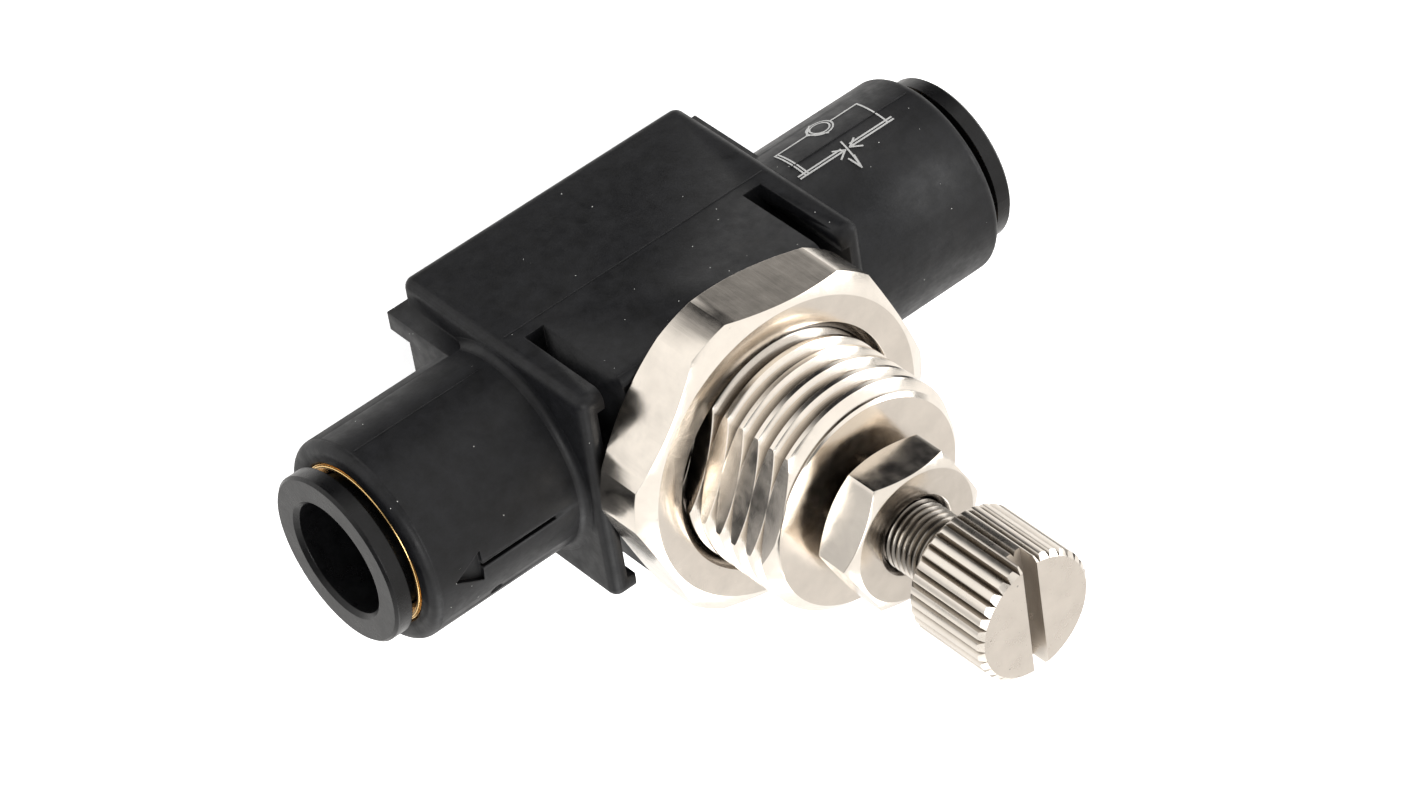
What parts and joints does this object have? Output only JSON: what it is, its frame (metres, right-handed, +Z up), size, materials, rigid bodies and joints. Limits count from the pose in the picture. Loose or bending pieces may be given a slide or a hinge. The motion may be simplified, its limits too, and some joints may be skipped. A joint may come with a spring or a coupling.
{
  "type": "flow control valve",
  "caption": "In-line one-way flow control valve for panel mounting, with two push-in tube sockets, a threaded bonnet with a panel nut, a lock nut and a knurled adjusting screw.",
  "frame": {"origin": "centre of the flat back face of the housing, on the adjusting screw's axis", "axes": "+Z runs up the adjusting screw from the back face to the knob; the tubes lie along X and the controlled flow runs towards +X; -Y is the marked side of the housing"},
  "size_m": [0.0538, 0.024, 0.0476],
  "materials": {
    "body_polymer": "satin black glass-filled polymer, moulded",
    "button_polymer": "satin black moulded polymer",
    "ring_polymer": "natural moulded polymer",
    "nickel_plate": "bright nickel plate over turned brass",
    "bare_brass": "turned brass",
    "spring_steel": "stainless spring steel",
    "seal_rubber": "nitrile rubber"
  },
  "bodies": {
    "valve_body": {"housing": "body_polymer", "bonnet": "nickel_plate", "bonnet_o_ring": "seal_rubber", "seat_carrier": "bare_brass", "check_seal": "seal_rubber", "inlet_tube_seal": "seal_rubber", "inlet_backing_ring": "ring_polymer", "inlet_grip_ring": "spring_steel", "inlet_sleeve": "bare_brass", "outlet_tube_seal": "seal_rubber", "outlet_backing_ring": "ring_polymer", "outlet_grip_ring": "spring_steel", "outlet_sleeve": "bare_brass"},
    "screw_seal": {"screw_o_ring": "seal_rubber"},
    "screw": {"adjusting_screw": "nickel_plate", "knob": "nickel_plate"},
    "panel_nut": {"panel_nut": "nickel_plate"},
    "lock_nut": {"lock_nut": "nickel_plate"},
    "inlet_button": {"inlet_release_button": "button_polymer"},
    "outlet_button": {"outlet_release_button": "button_polymer"}
  },
  "joints": [
    {"name": "screw_travel", "type": "slide", "parent": "valve_body", "child": "screw_seal", "axis": [0, 0, 1], "range_m": [-0.0025, 0.0015]},
    {"name": "screw_turn", "type": "hinge", "parent": "screw_seal", "child": "screw", "pos_m": [0, 0, 0.0408], "axis": [0, 0, 1], "range_deg": [-1800, 1080]},
    {"name": "panel_nut_travel", "type": "slide", "parent": "valve_body", "child": "panel_nut", "axis": [0, 0, 1], "range_m": [0, 0.0079]},
    {"name": "lock_nut_travel", "type": "slide", "parent": "valve_body", "child": "lock_nut", "axis": [0, 0, 1], "range_m": [-0.0012, 0.001]},
    {"name": "inlet_button_press", "type": "slide", "parent": "valve_body", "child": "inlet_button", "axis": [1, 0, 0], "range_m": [0, 0.0008], "stiffness_N_per_m": 4000},
    {"name": "outlet_button_press", "type": "slide", "parent": "valve_body", "child": "outlet_button", "axis": [-1, 0, 0], "range_m": [0, 0.0008], "stiffness_N_per_m": 4000}
  ],
  "couplings": [
    {"joint": "screw_turn", "follows": "screw_travel", "rad_per_m": 12566}
  ]
}
